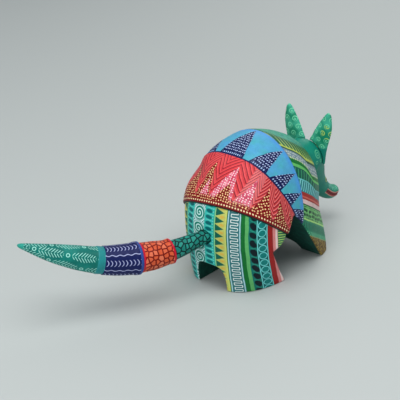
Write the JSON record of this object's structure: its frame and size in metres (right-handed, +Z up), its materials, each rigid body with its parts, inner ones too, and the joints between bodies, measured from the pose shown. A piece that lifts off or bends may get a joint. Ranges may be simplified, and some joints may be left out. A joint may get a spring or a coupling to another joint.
{
  "type": "alebrije armadillo figure",
  "caption": "Painted carved wooden armadillo figure with a banded shell, a long pointed head and plug-in tail and ears.",
  "frame": {"origin": "bottom centre of the whole figure's bounding box, on the surface the feet stand on", "axes": "+Z up, +Y from the head to the tail, +X towards the animal's left; the tail sweeps to +X"},
  "size_m": [0.0828, 0.2182, 0.0815],
  "materials": {
    "body": "acrylic paint under gloss varnish",
    "tail": "acrylic paint under gloss varnish",
    "ear": "acrylic paint under gloss varnish"
  },
  "bodies": {
    "body": {"body": "body"},
    "tail": {"tail": "tail"},
    "ear_left": {"ear_left": "ear"},
    "ear_right": {"ear_right": "ear"}
  },
  "joints": [
    {"name": "tail_pull", "type": "slide", "parent": "body", "child": "tail", "axis": [0.3162, 0.9393, -0.1329], "range_m": [0, 0.018]},
    {"name": "ear_left_pull", "type": "slide", "parent": "body", "child": "ear_left", "axis": [0.2419, 0, 0.9703], "range_m": [0, 0.012]},
    {"name": "ear_right_pull", "type": "slide", "parent": "body", "child": "ear_right", "axis": [-0.2419, 0, 0.9703], "range_m": [0, 0.012]}
  ]
}
